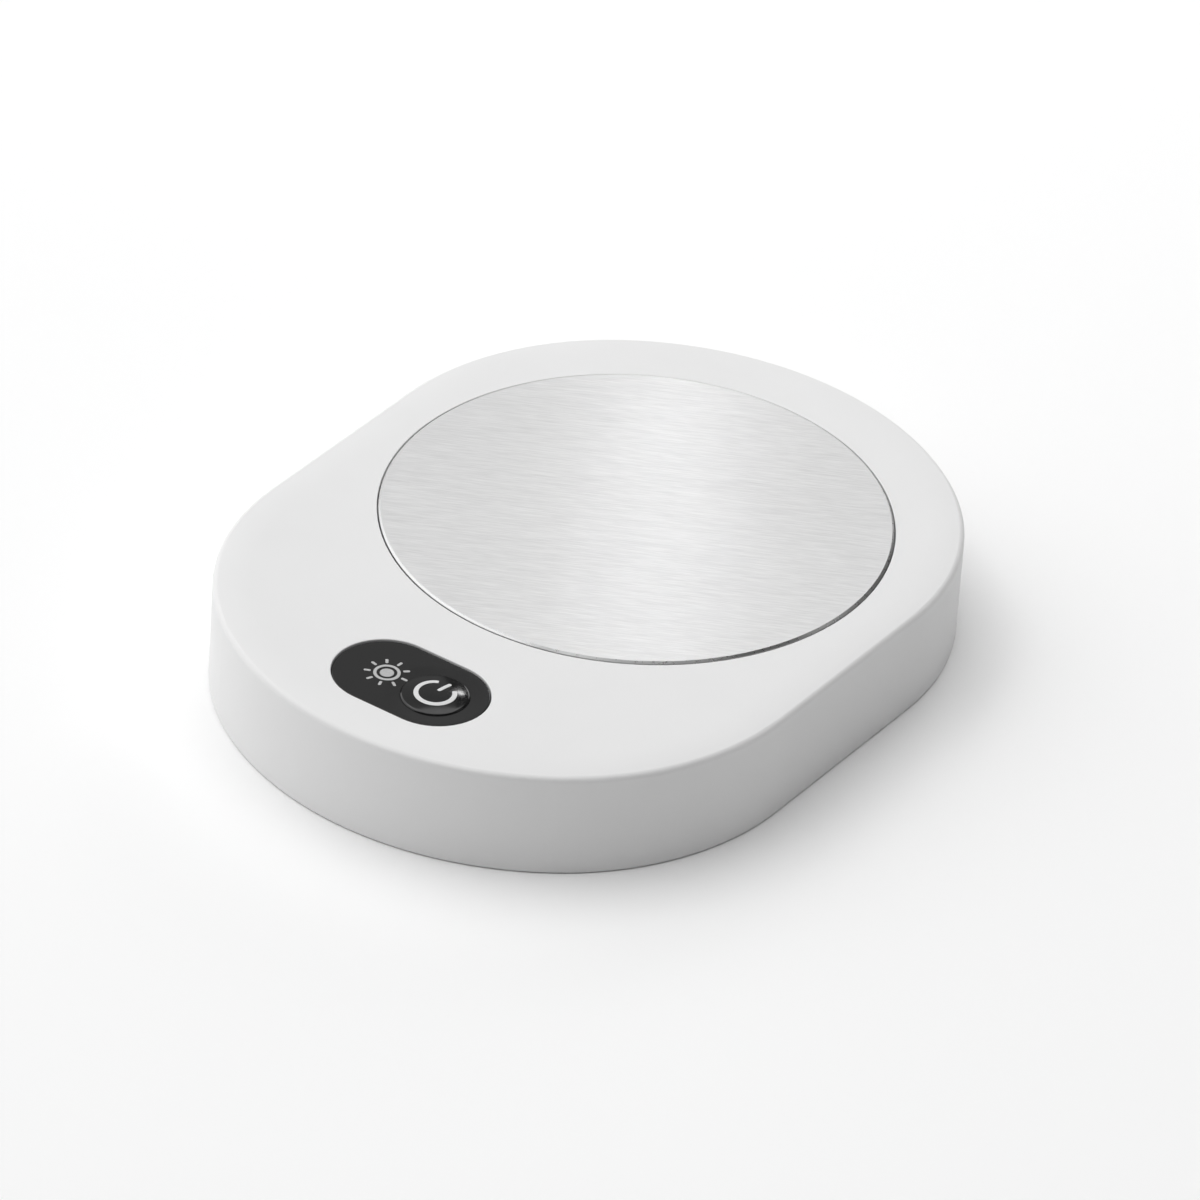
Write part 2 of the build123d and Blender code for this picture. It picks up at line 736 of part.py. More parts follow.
with BuildPart() as clip_rivet:
    with BuildSketch(level(pan_bottom - clip_sheet - rivet_head_height)):
        with Locations(rivet_spot):
            Circle(rivet_head_radius)
    extrude(amount=rivet_head_height)
    with BuildSketch(level(pan_bottom - clip_sheet)):
        with Locations(rivet_spot):
            Circle(rivet_shank_radius)
    extrude(amount=clip_sheet + pan_sheet)
    with BuildSketch(level(insulation_bottom)):
        with Locations(rivet_spot):
            Circle(rivet_head_radius)
    extrude(amount=rivet_head_height)
finish(clip_rivet, "clip_rivet")

# ---------------------------------------------------------------- control panel and button

with BuildPart() as control_panel:
    with BuildSketch(level(ceiling)):
        with Locations((0, panel_y)):
            SlotOverall(panel_length, panel_width)
    extrude(amount=panel_top - ceiling)
    fillet(control_panel.faces().sort_by(Axis.Z)[-1].outer_wire().edges(), panel_edge)
    with BuildSketch(level(panel_flange_bottom)):
        with Locations((0, panel_y)):
            SlotOverall(panel_length + 2 * panel_flange, panel_width + 2 * panel_flange)
    extrude(amount=panel_flange_thickness)
    with BuildSketch(level(panel_flange_bottom)):
        with Locations((0, panel_y)):
            SlotOverall(pocket_length, pocket_width)
    extrude(amount=panel_underside - panel_flange_bottom, mode=Mode.SUBTRACT)
    # Key that stops the button from turning
    with BuildSketch(level(panel_flange_bottom)):
        with Locations((pocket_length / 2, panel_y)):
            Rectangle(2 * key_reach, key_width)
        with Locations((0, panel_y)):
            SlotOverall(panel_length, panel_width, mode=Mode.INTERSECT)
    extrude(amount=panel_underside - panel_flange_bottom)
    # Shallow hollow round the button, its bore, and the bore for the light pipe
    dish_sphere = (dish_radius**2 + dish_depth**2) / (2 * dish_depth)
    with Locations((*button_spot, panel_top - dish_depth + dish_sphere)):
        Sphere(dish_sphere, mode=Mode.SUBTRACT)
    with Locations((*button_spot, panel_top)):
        Hole(button_radius + button_gap, depth=panel_sheet)
    with Locations((*lens_spot, panel_top)):
        Hole(lens_diameter / 2 + lens_gap, depth=panel_sheet)
finish(control_panel, "control_panel")

# Domed cap with a retaining flange and a stem that reaches down to the switch.
with BuildPart() as power_button:
    inner_radius = button_radius - button_wall
    inner_top = button_top - button_wall
    flange_bottom = flange_top - button_flange_thickness
    stem_bottom = plunger_top + contact_gap
    crown_reach = button_radius - button_shoulder_run
    shoulder_top = button_top - button_crown
    with BuildSketch(upright(button_spot)):
        with BuildLine():
            crown_line = ThreePointArc(
                (0, button_top),
                (crown_reach / 2, button_top - button_crown / 4),
                (crown_reach, shoulder_top),
            )
            shoulder_line = Spline(
                crown_line @ 1,
                (button_radius, shoulder_top - button_shoulder_drop),
                tangents=(crown_line % 1, (0, -1)),
            )
            Polyline(
                shoulder_line @ 1,
                (button_radius, flange_top),
                (button_radius + button_flange, flange_top),
                (button_radius + button_flange, flange_bottom),
                (inner_radius, flange_bottom),
                (inner_radius, inner_top),
                (button_stem / 2, inner_top),
                (button_stem / 2, stem_bottom),
                (0, stem_bottom),
                crown_line @ 0,
            )
        make_face()
    revolve(axis=axis_at(button_spot))
    with BuildSketch(level(flange_bottom)):
        with Locations((pocket_length / 2, panel_y)):
            Rectangle(2 * (key_reach + key_gap), key_width + 2 * key_gap)
    extrude(amount=button_flange_thickness, mode=Mode.SUBTRACT)
finish(power_button, "power_button")

# Light pipe: its end is the round lens in the panel, its collar stops under the panel.
with BuildPart() as indicator_lens:
    with BuildSketch(level(led_top + lens_light_gap)):
        with Locations(lens_spot):
            Circle(lens_diameter / 2)
    extrude(amount=panel_top - led_top - lens_light_gap)
    with BuildSketch(level(panel_underside)):
        with Locations(lens_spot):
            Circle(lens_diameter / 2 + lens_collar)
    extrude(amount=-lens_collar_thickness)
finish(indicator_lens, "indicator_lens")

# ---------------------------------------------------------------- control board

with BuildPart() as control_board:
    with BuildSketch(level(board_bottom)):
        with Locations((0, board_y)):
            RectangleRounded(board_width, board_depth, board_corner)
        with Locations(*board_screw_spots):
            Circle(board_screw[2] + screw_clearance, mode=Mode.SUBTRACT)
    extrude(amount=board_thickness)
finish(control_board, "control_board")

finish(screw_set(board_screw, board_thickness + board_screw_bite, board_screw_spots, board_bottom),
       "board_screws")

# Tactile switch; its bore leaves room for the plunger's travel.
with BuildPart() as switch_body:
    with BuildSketch(level(board_top)):
        with Locations(button_spot):
            RectangleRounded(switch_size, switch_size, switch_corner)
    extrude(amount=switch_height)
    with Locations((*button_spot, switch_top)):
        Hole(plunger_diameter / 2 + screw_play, depth=plunger_depth + button_travel + contact_gap)
finish(switch_body, "switch_body")

with BuildPart() as switch_cover:
    with BuildSketch(level(switch_top)):
        with Locations(button_spot):
            RectangleRounded(switch_size, switch_size, switch_corner)
            Circle(plunger_diameter / 2 + screw_play, mode=Mode.SUBTRACT)
    extrude(amount=switch_cover_sheet)
finish(switch_cover, "switch_cover")

with BuildPart() as switch_plunger:
    with BuildSketch(level(plunger_bottom)):
        with Locations(button_spot):
            Circle(plunger_diameter / 2)
    extrude(amount=plunger_top - plunger_bottom)
    chamfer(switch_plunger.edges().sort_by(Axis.Z)[-1], plunger_edge)
finish(switch_plunger, "switch_plunger")

with BuildPart() as indicator_led:
    with BuildSketch(level(board_top)):
        with Locations(lens_spot):
            Circle(led_diameter / 2)
    extrude(amount=led_height)
    fillet(indicator_led.edges().sort_by(Axis.Z)[-1], led_dome)
    with BuildSketch(level(board_top)):
        with Locations(lens_spot):
            Circle(led_diameter / 2 + led_flange)
    extrude(amount=led_flange_thickness)
finish(indicator_led, "indicator_led")

# Parts soldered to the board's upper face
chip_spot = (lens_spot[0], board_y + chip_shift)
with BuildPart() as control_chip:
    with BuildSketch(level(board_top)):
        with Locations(chip_spot):
            Rectangle(chip_length, chip_depth)
    extrude(amount=chip_height)
    with BuildSketch(level(board_top)):
        with Locations(chip_spot):
            with GridLocations(chip_leg_pitch, chip_depth + chip_leg_reach, 4, 2):
                Rectangle(chip_leg_width, chip_leg_reach)
    extrude(amount=chip_leg_thickness)
finish(control_chip, "control_chip")

transistor_spot = (button_spot[0] + transistor_shift[0], board_y + transistor_shift[1])
with BuildPart() as power_transistor:
    with BuildSketch(level(board_top)):
        with Locations(transistor_spot):
            Rectangle(transistor_width, transistor_depth)
    extrude(amount=transistor_height)
    chamfer(power_transistor.edges().group_by(Axis.Z)[-1], transistor_edge)
    with BuildSketch(level(board_top)):
        with Locations((transistor_spot[0], transistor_spot[1] + transistor_depth / 2)):
            Rectangle(transistor_tab_width, 2 * transistor_tab_reach)
    extrude(amount=transistor_tab_thickness)
finish(power_transistor, "power_transistor")

capacitor_spot = (0, board_rear - capacitor_diameter / 2 - capacitor_inset)
with BuildPart() as smoothing_capacitor:
    with BuildSketch(level(board_top)):
        with Locations(capacitor_spot):
            RectangleRounded(capacitor_diameter, capacitor_diameter, capacitor_base_corner)
    extrude(amount=capacitor_base_height)
    with BuildSketch(level(board_top)):
        with Locations(capacitor_spot):
            Circle(capacitor_diameter / 2 - screw_play)
    extrude(amount=capacitor_height)
finish(smoothing_capacitor, "smoothing_capacitor")

with BuildPart() as board_resistors:
    with BuildSketch(level(board_top)):
        with Locations((0, board_y - board_depth / 2 + resistor_inset)):
            with GridLocations(resistor_pitch, 0, resistor_count, 1):
                Rectangle(resistor_length, resistor_depth)
    extrude(amount=resistor_height)
finish(board_resistors, "board_resistors")

finish(connector(-connector_spacing, power_lead), "power_connector")
finish(connector(0, heater_wire), "heater_connector")
finish(connector(connector_spacing, sensor_wire), "sensor_connector")

# ---------------------------------------------------------------- power inlet

with BuildPart() as inlet_board:
    with BuildSketch(level(inlet_board_bottom)):
        with Locations((0, inlet_board_y)):
            RectangleRounded(inlet_board_width, inlet_board_depth, inlet_board_corner)
        with Locations(*inlet_screw_spots):
            Circle(board_screw[2] + screw_clearance, mode=Mode.SUBTRACT)
    extrude(amount=inlet_board_thickness)
finish(inlet_board, "inlet_board")

# The inlet board's screws are driven from above, so the set is turned over.
inlet_screw = screw(board_screw, inlet_board_thickness + inlet_board_lift - inlet_screw_spare)
with BuildPart() as inlet_screws:
    for x, y in inlet_screw_spots:
        with Locations(Location((x, y, inlet_board_top), (180, 0, 0))):
            add(inlet_screw)
finish(inlet_screws, "inlet_screws")

with BuildPart() as inlet_socket:
    with BuildSketch(facing_rear(inlet_mouth, inlet_z)):
        SlotOverall(inlet_width, inlet_height)
        SlotOverall(inlet_width - 2 * inlet_sheet, inlet_height - 2 * inlet_sheet, mode=Mode.SUBTRACT)
    extrude(amount=-inlet_length)
finish(inlet_socket, "inlet_socket")

with BuildPart() as inlet_tongue:
    with BuildSketch(facing_rear(inlet_mouth - inlet_length, inlet_z)):
        SlotOverall(inlet_width - 2 * inlet_sheet - screw_play, inlet_height - 2 * inlet_sheet - screw_play)
    extrude(amount=tongue_base)
    with BuildSketch(facing_rear(inlet_mouth - inlet_length + tongue_base, inlet_z)):
        Rectangle(tongue_width, tongue_thickness)
    extrude(amount=tongue_length)
    chamfer(inlet_tongue.faces().sort_by(Axis.Y)[-1].edges().filter_by(Axis.X), tongue_edge)
finish(inlet_tongue, "inlet_tongue")

# ---------------------------------------------------------------- inner leads

pad_front = inlet_board_y - inlet_board_depth / 2
plug_end = board_rear - socket_depth + contact_gap
on_board = inlet_board_top + power_lead / 2 + screw_play
on_floor = cover_floor + power_lead / 2 + screw_play


def power_route(side):
    """Inlet board to the board's power plug, along the floor and through the guides.

    The two leads keep their distance round each bend: a corner moves along Y by the tangent of half
    the turn.
    """
    shift = side * contact_pitch / 2
    leave_y = pad_front - 5.0
    guide_start = plate_y + 21.0
    guide_end = plate_y - 21.0
    arrive_y = board_rear + 8.0
    outward = atan2(-guide_x, leave_y - guide_start) / 2
    inward = atan2(connector_spacing + guide_x, guide_end - arrive_y) / 2
    return [
        (shift, pad_front + 1.5, on_board),
        (shift, leave_y - shift * tan(outward), on_board - 0.3),
        (guide_x + shift, guide_start - shift * tan(outward), on_floor),
        (guide_x + shift, guide_end - shift * tan(inward), on_floor),
        (-connector_spacing + shift, arrive_y - shift * tan(inward), connector_z),
        (-connector_spacing + shift, plug_end, connector_z),
    ]


for side, name in ((-1, "power_lead_positive"), (1, "power_lead_negative")):
    finish(lead(power_route(side), power_lead), name)

heater_plug_x = contact_pitch / 2
finish(lead([
    (*first_terminal, heater_bottom),
    (*first_terminal, connector_z + 0.6),
    (heater_plug_x, board_rear + 7.0, connector_z),
    (heater_plug_x, plug_end, connector_z),
], heater_wire), "heater_lead")

finish(lead([
    (second_terminal[0], second_terminal[1], heater_bottom),
    (second_terminal[0], second_terminal[1] - 0.2, fuse_z),
    (second_terminal[0], fuse_front + fuse_length, fuse_z),
], heater_wire), "fuse_link")

finish(lead([
    (second_terminal[0], fuse_front, fuse_z),
    (second_terminal[0], fuse_front - 6.0, fuse_z),
    (-heater_plug_x - 2.5, board_rear + 10.0, connector_z + 0.3),
    (-heater_plug_x, board_rear + 5.0, connector_z),
    (-heater_plug_x, plug_end, connector_z),
], heater_wire), "fuse_lead")


def sensor_lead(side):
    """One of the two leads from the temperature sensor to its plug."""
    start_x = sensor_spot[0] + side * sensor_wire_pitch / 2
    plug_x = connector_spacing + side * contact_pitch / 2
    return lead([
        (start_x, sensor_spot[1], pan_bottom - sensor_hang),
        (start_x, sensor_spot[1] - 0.2, connector_z + 1.0),
        (plug_x - 0.6, board_rear + 8.0, connector_z + 0.3),
        (plug_x, board_rear + 4.0, connector_z),
        (plug_x, plug_end, connector_z),
    ], sensor_wire)


sensor_pair = [sensor_lead(side) for side in (-1, 1)]
with BuildPart() as sensor_leads:
    add([strand.part for strand in sensor_pair])
finish(sensor_leads, "sensor_leads")
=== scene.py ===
import json
from math import cos, pi, radians, sin, tau

import bmesh
import bpy
from mathutils import Matrix, Vector
from mathutils.bvhtree import BVHTree


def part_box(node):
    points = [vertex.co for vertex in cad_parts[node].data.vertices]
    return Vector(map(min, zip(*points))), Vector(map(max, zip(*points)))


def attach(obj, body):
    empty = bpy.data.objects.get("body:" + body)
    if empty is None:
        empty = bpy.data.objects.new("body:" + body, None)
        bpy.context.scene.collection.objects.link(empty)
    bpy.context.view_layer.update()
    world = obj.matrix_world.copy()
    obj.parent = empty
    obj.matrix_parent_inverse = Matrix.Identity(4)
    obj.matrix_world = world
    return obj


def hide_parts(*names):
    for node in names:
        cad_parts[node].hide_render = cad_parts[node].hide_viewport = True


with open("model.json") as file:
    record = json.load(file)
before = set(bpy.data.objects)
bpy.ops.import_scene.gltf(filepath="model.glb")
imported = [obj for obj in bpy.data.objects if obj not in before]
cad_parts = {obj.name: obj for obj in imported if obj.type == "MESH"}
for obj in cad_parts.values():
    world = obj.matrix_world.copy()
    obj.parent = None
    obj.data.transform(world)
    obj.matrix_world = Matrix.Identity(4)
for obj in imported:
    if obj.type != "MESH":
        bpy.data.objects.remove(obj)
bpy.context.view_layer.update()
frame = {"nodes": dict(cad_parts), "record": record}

nodes = frame["nodes"]
mm = 0.001

# ---------------------------------------------------------------- camera

VIEW_AZIMUTH = radians(33.26)       # 0 looks along +Y, from the panel end
VIEW_ELEVATION = radians(34.25)
VIEW_ROLL = radians(4.04)
VIEW_DISTANCE = 1.688
VIEW_TARGET = Vector((10.2, -11.9, 20.0)) * mm
LENS = 300.0                        # in mm, as the sensor's width
SENSOR = 36.0

away = Vector((-sin(VIEW_AZIMUTH), cos(VIEW_AZIMUTH), 0))   # level, from the camera to the object
across = Vector((cos(VIEW_AZIMUTH), sin(VIEW_AZIMUTH), 0))  # level, to the camera's right
overhead = Vector((0, 0, 1))


def make_camera():
    """Long lens, looking down on the top from the panel end."""
    back = overhead * sin(VIEW_ELEVATION) - away * cos(VIEW_ELEVATION)
    level_up = back.cross(across)
    right = across * cos(VIEW_ROLL) + level_up * sin(VIEW_ROLL)
    up = level_up * cos(VIEW_ROLL) - across * sin(VIEW_ROLL)
    camera = bpy.data.objects.new("camera", bpy.data.cameras.new("camera"))
    camera.data.lens = LENS
    camera.data.sensor_width = SENSOR
    camera.data.clip_start = 0.1
    camera.data.clip_end = 20.0
    turn = Matrix((right, up, back)).transposed().to_4x4()
    camera.matrix_world = Matrix.Translation(VIEW_TARGET + back * VIEW_DISTANCE) @ turn
    bpy.context.scene.collection.objects.link(camera)
    bpy.context.scene.camera = camera


# ---------------------------------------------------------------- finishes

NOISE_LOW, NOISE_HIGH = 0.3, 0.7    # nearly all values of a noise texture lie between these
NOISE_MIDDLE = 0.5
NOISE_DETAIL = 3.0
NOISE_ROUGHNESS = 0.55


class Finish:
    """A material under construction: short calls for the nodes that the finishes share."""

    def __init__(self, name, color, roughness, metallic=0.0):
        self.material = bpy.data.materials.new(name)
        self.material.use_nodes = True
        self.tree = self.material.node_tree
        self.shader = self.tree.nodes["Principled BSDF"]
        self.shader.inputs["Base Color"].default_value = (*color, 1)
        self.shader.inputs["Roughness"].default_value = roughness
        self.shader.inputs["Metallic"].default_value = metallic
        self.place = self.add("ShaderNodeTexCoord").outputs["Object"]
        self.relief = None

    def add(self, kind):
        return self.tree.nodes.new(kind)

    def link(self, start, end):
        self.tree.links.new(start, end)

    def mapped(self, stretch, turn=0.0, centre=(0, 0, 0)):
        """Object coordinates, centred, turned about Z and then stretched."""
        turned = self.add("ShaderNodeMapping")
        turned.inputs["Location"].default_value = Matrix.Rotation(-turn, 3, "Z") @ -Vector(centre)
        turned.inputs["Rotation"].default_value = (0, 0, -turn)
        self.link(self.place, turned.inputs["Vector"])
        scaled = self.add("ShaderNodeMapping")
        scaled.inputs["Scale"].default_value = stretch
        self.link(turned.outputs["Vector"], scaled.inputs["Vector"])
        return scaled.outputs["Vector"]

    def noise(self, size, detail=NOISE_DETAIL, roughness=NOISE_ROUGHNESS):
        """Noise with features about this many millimetres across."""
        return self.noise_at(self.place, 1 / (size * mm), detail, roughness)

    def noise_at(self, place, scale, detail, roughness):
        texture = self.add("ShaderNodeTexNoise")
        texture.inputs["Scale"].default_value = scale
        texture.inputs["Detail"].default_value = detail
        texture.inputs["Roughness"].default_value = roughness
        self.link(place, texture.inputs["Vector"])
        return texture.outputs["Fac"]

    def spread(self, value, low, high, start=NOISE_LOW, end=NOISE_HIGH):
        """A value between start and end, mapped to low and high."""
        ramp = self.add("ShaderNodeMapRange")
        ramp.inputs["From Min"].default_value = start
        ramp.inputs["From Max"].default_value = end
        ramp.inputs["To Min"].default_value = low
        ramp.inputs["To Max"].default_value = high
        self.link(value, ramp.inputs["Value"])
        return ramp.outputs["Result"]

    def blend(self, share, low, high):
        """Mix of two values, each a number or another node's output."""
        mix = self.add("ShaderNodeMix")
        for socket, value in (("Factor", share), ("A", low), ("B", high)):
            if isinstance(value, float):
                mix.inputs[socket].default_value = value
            else:
                self.link(value, mix.inputs[socket])
        return mix.outputs["Result"]

    def axis_distance(self, node):
        """Distance from the upright axis through a node's middle."""
        low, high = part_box(node)
        reach = self.add("ShaderNodeVectorMath")
        reach.operation = "LENGTH"
        self.link(self.mapped((1, 1, 0), centre=(low + high) / 2), reach.inputs[0])
        return reach.outputs["Value"]

    def roughen(self, value, low, high):
        self.link(self.spread(value, low, high), self.shader.inputs["Roughness"])

    def tint(self, value, dark, light):
        """Base colour between two tones."""
        ramp = self.add("ShaderNodeValToRGB")
        ramp.color_ramp.elements[0].position = NOISE_LOW
        ramp.color_ramp.elements[0].color = (*dark, 1)
        ramp.color_ramp.elements[1].position = NOISE_HIGH
        ramp.color_ramp.elements[1].color = (*light, 1)
        self.link(value, ramp.inputs["Fac"])
        self.link(ramp.outputs["Color"], self.shader.inputs["Base Color"])

    def emboss(self, value, depth):
        """Relief this many millimetres deep; calls add up."""
        bump = self.add("ShaderNodeBump")
        bump.inputs["Strength"].default_value = 1.0
        bump.inputs["Distance"].default_value = depth * mm
        self.link(value, bump.inputs["Height"])
        if self.relief:
            self.link(self.relief, bump.inputs["Normal"])
        self.relief = bump.outputs["Normal"]
        self.link(self.relief, self.shader.inputs["Normal"])


def grey(tone):
    return (tone, tone, tone)


def shade(color, share):
    return tuple(min(channel * share, 1.0) for channel in color)


def half_width(node):
    low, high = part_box(node)
    return (high.x - low.x) / 2


def moulded(name, color, roughness, grain=0.25, depth=0.004):
    """Moulded plastic: fine grain, with slow changes in gloss and tone."""
    finish = Finish(name, color, roughness)
    slow = finish.noise(18.0)
    finish.roughen(slow, roughness - 0.04, roughness + 0.04)
    finish.tint(slow, shade(color, 0.985), color)
    finish.emboss(finish.noise(grain), depth)
    return finish.material


def polished_dome(name, color, roughness):
    """Polished plastic with faint waviness from the mould."""
    finish = Finish(name, color, roughness)
    finish.roughen(finish.noise(2.0), roughness * 0.8, roughness * 1.3)
    finish.tint(finish.noise(6.0), shade(color, 0.8), color)
    finish.emboss(finish.noise(3.0, detail=1.0), 0.002)
    return finish.material


BRUSH_ANGLE = radians(29)           # direction of the brush lines, from +X
BRUSH_LENGTH = 4.5                  # of a line, in mm
BRUSH_LINE = 0.19                   # across a line, in mm
BROAD_LENGTH = 3 * BRUSH_LENGTH     # of the broader lines among them
BROAD_LINE = 4 * BRUSH_LINE
BROAD_SHARE = 0.25
BRUSH_SPREAD = 0.78                 # 0 to 1, the gloss spreads more across the lines than along
PLATE_BEVEL = 0.35 * mm             # polished bevel round the plate's top
BEVEL_ROUGHNESS = (0.26, 0.32)
BEVEL_EDGE = 0.02 * mm              # its finish changes to the brushed one over this width
BRUSH_FADE = 0.5 * mm               # the lines fade out over this width inside it


def brushed_plate(name, color, roughness):
    """Aluminium brushed in straight lines, with a polished bevel round its edge."""
    finish = Finish(name, color, roughness, metallic=1.0)

    def streaks(length, line):
        stretch = (1 / (length * mm), 1 / (line * mm), 1 / (line * mm))
        place = finish.mapped(stretch, turn=BRUSH_ANGLE)
        return finish.noise_at(place, scale=1.0, detail=2.0, roughness=0.6)

    reach = finish.axis_distance("heating_plate")
    flat = half_width("heating_plate") - PLATE_BEVEL
    face = finish.spread(reach, 1, 0, flat, flat + BEVEL_EDGE)      # 1 on the face, 0 on the bevel
    fade = finish.spread(reach, 1, 0, flat - BRUSH_FADE, flat)
    fine = streaks(BRUSH_LENGTH, BRUSH_LINE)
    broad = streaks(BROAD_LENGTH, BROAD_LINE)
    lines = finish.blend(BROAD_SHARE, fine, broad)
    brushing = finish.blend(fade, NOISE_MIDDLE, lines)
    brushed = finish.spread(brushing, roughness - 0.02, roughness + 0.02)
    buffed = finish.spread(finish.noise(0.8), *BEVEL_ROUGHNESS)
    finish.link(finish.blend(face, buffed, brushed), finish.shader.inputs["Roughness"])
    finish.tint(brushing, shade(color, 0.85), shade(color, 1.05))
    finish.emboss(brushing, 0.001)
    finish.shader.inputs["Anisotropic"].default_value = BRUSH_SPREAD
    grain = finish.add("ShaderNodeCombineXYZ")
    grain.inputs["X"].default_value = -sin(BRUSH_ANGLE)
    grain.inputs["Y"].default_value = cos(BRUSH_ANGLE)
    finish.link(grain.outputs["Vector"], finish.shader.inputs["Tangent"])
    return finish.material


def plain_metal(name, color, roughness, grain=0.6):
    """Plated or drawn metal with a fine uneven surface."""
    finish = Finish(name, color, roughness, metallic=1.0)
    speckle = finish.noise(grain)
    finish.roughen(speckle, roughness - 0.07, roughness + 0.1)
    finish.tint(finish.noise(4.0), shade(color, 0.9), color)
    finish.emboss(speckle, 0.004)
    return finish.material


def silicone(name, color):
    """Matt rubber with a dusty bloom."""
    finish = Finish(name, color, 0.75)
    bloom = finish.noise(1.5, detail=5.0)
    finish.roughen(bloom, 0.65, 0.85)
    finish.tint(bloom, shade(color, 0.9), shade(color, 1.08))
    finish.emboss(finish.noise(0.2), 0.01)
    return finish.material


def felted(name, color):
    """Pressed fibres."""
    finish = Finish(name, color, 0.95)
    fibres = finish.noise(0.5, detail=8.0, roughness=0.75)
    finish.tint(fibres, shade(color, 0.78), color)
    finish.emboss(fibres, 0.2)
    finish.shader.inputs["Sheen Weight"].default_value = 0.3
    return finish.material


MICA_FLAKE = 3.0 * mm
BOARD_WEAVE = 3.0 * mm


def flaked(name, color):
    """Mica sheet: overlapping flakes."""
    finish = Finish(name, color, 0.5)
    flakes = finish.add("ShaderNodeTexVoronoi")
    flakes.inputs["Scale"].default_value = 1 / MICA_FLAKE
    finish.link(finish.place, flakes.inputs["Vector"])
    finish.tint(flakes.outputs["Distance"], shade(color, 0.75), color)
    finish.emboss(flakes.outputs["Distance"], 0.02)
    return finish.material


def lacquered(name, color):
    """Circuit board lacquer with the weave of the laminate showing faintly."""
    finish = Finish(name, color, 0.35)
    weave = finish.add("ShaderNodeTexWave")
    weave.inputs["Scale"].default_value = 1 / BOARD_WEAVE
    weave.inputs["Distortion"].default_value = 1.0
    finish.link(finish.place, weave.inputs["Vector"])
    finish.tint(weave.outputs["Fac"], shade(color, 0.8), color)
    finish.emboss(weave.outputs["Fac"], 0.003)
    return finish.material


def frosted(name, color, roughness, clearness):
    """Translucent plastic."""
    finish = Finish(name, color, roughness)
    finish.roughen(finish.noise(0.4), roughness - 0.05, roughness + 0.1)
    finish.tint(finish.noise(0.5), shade(color, 0.85), color)
    finish.emboss(finish.noise(0.3), 0.003)
    finish.shader.inputs["Transmission Weight"].default_value = clearness
    finish.shader.inputs["IOR"].default_value = 1.5
    return finish.material


def printed(name, tone):
    """Pad-printed ink."""
    finish = Finish(name, grey(tone), 0.5)
    specks = finish.noise(0.15)
    finish.tint(specks, grey(tone * 0.93), grey(tone))
    finish.emboss(specks, 0.003)
    return finish.material


# One finish for each material slot of the record
finishes = {
    "shell_white": moulded("satin white moulding", grey(0.80), 0.5),
    "cover_white": moulded("matt white moulding", grey(0.74), 0.6, grain=0.5, depth=0.02),
    "brushed_plate": brushed_plate("straight-brushed aluminium", grey(0.77), 0.40),
    "silicone_grey": silicone("grey silicone gasket", grey(0.42)),
    "mica": flaked("mica sheet", (0.55, 0.47, 0.33)),
    "felt": felted("white felt", (0.83, 0.81, 0.75)),
    "pan_steel": plain_metal("zinc-plated pressing", grey(0.62), 0.38),
    "screw_steel": plain_metal("zinc-plated screws", grey(0.58), 0.32),
    "sensor_metal": plain_metal("sensor cup", grey(0.66), 0.42),
    "panel_charcoal": moulded("charcoal panel", grey(0.009), 0.12, grain=0.35, depth=0.0004),
    "button_black": polished_dome("piano-black button", grey(0.005), 0.12),
    "lens_clear": frosted("frosted light pipe", grey(0.55), 0.5, 0.1),
    "board_green": lacquered("green circuit board", (0.02, 0.16, 0.06)),
    "switch_black": moulded("black switch plastic", grey(0.02), 0.5),
    "contact_metal": plain_metal("plated contact shell", grey(0.72), 0.22),
    "led_clear": frosted("clear lamp body", grey(0.85), 0.08, 0.8),
    "chip_black": moulded("moulded chip package", grey(0.018), 0.65),
    "capacitor_metal": plain_metal("drawn capacitor can", (0.70, 0.70, 0.73), 0.28),
    "connector_white": moulded("cream connector nylon", (0.80, 0.78, 0.70), 0.5),
    "lead_red": moulded("red wire insulation", (0.50, 0.02, 0.02), 0.45),
    "lead_black": moulded("black wire insulation", grey(0.02), 0.45),
    "lead_white": felted("glass-braid sleeve", (0.78, 0.77, 0.73)),
    "foot_silicone": silicone("grey silicone feet", grey(0.5)),
}
power_ink = printed("light grey print on the button", 0.74)
sun_ink = printed("light grey print on the panel", 0.50)


def dress_nodes():
    """Every solid gets the finish of its own material slot."""
    for part in frame["record"]["subparts"]:
        for slot in nodes[part["node"]].material_slots:
            slot.material = finishes[part["material_slot"]]


# ---------------------------------------------------------------- button and printed signs

MERGE = 0.001 * mm          # vertices closer than this are joined
NEARLY = 0.99               # for picking edges by their length or direction
CORNER = radians(60)        # a stroke's corners turn further than this

INK_TOP = 0.03 * mm         # print stands this much proud
INK_SINK = 0.04 * mm        # and reaches this far into what carries it
DROP = 20 * mm              # it is laid on from this far above
END_ROUNDING = 0.48         # of a stroke's corners, as a share of its width
END_STEPS = 5               # round each corner
BAR_CUTS = 5                # along a bar, so that it follows a dome
RING_STEPS = 72

# Button cap, from its axis and down from its top
CAP_RADIUS = 5.86 * mm
CROWN_REACH = 5.52 * mm     # the dome meets the rounded shoulder here
CROWN_SLOPE = radians(8.5)  # with this slope
CAP_WALL = 1.3 * mm
FLANGE_TOP = 2.1 * mm
FLANGE_BOTTOM = 3.1 * mm
STEM_RADIUS = 2.0 * mm
KEYWAY = radians(24)        # gap in the flange for the panel's key, on the right
CAP_STEPS = 96              # round the cap
CROWN_STEPS = 20            # from its top to the shoulder
SHOULDER_STEPS = 12
CREASE = radians(30)        # edges that turn further than this stay sharp


def surface_tree(carrier):
    """Search tree of a surface, for laying print on it."""
    work = bmesh.new()
    work.from_mesh(carrier.data)
    tree = BVHTree.FromBMesh(work)
    work.free()
    return tree


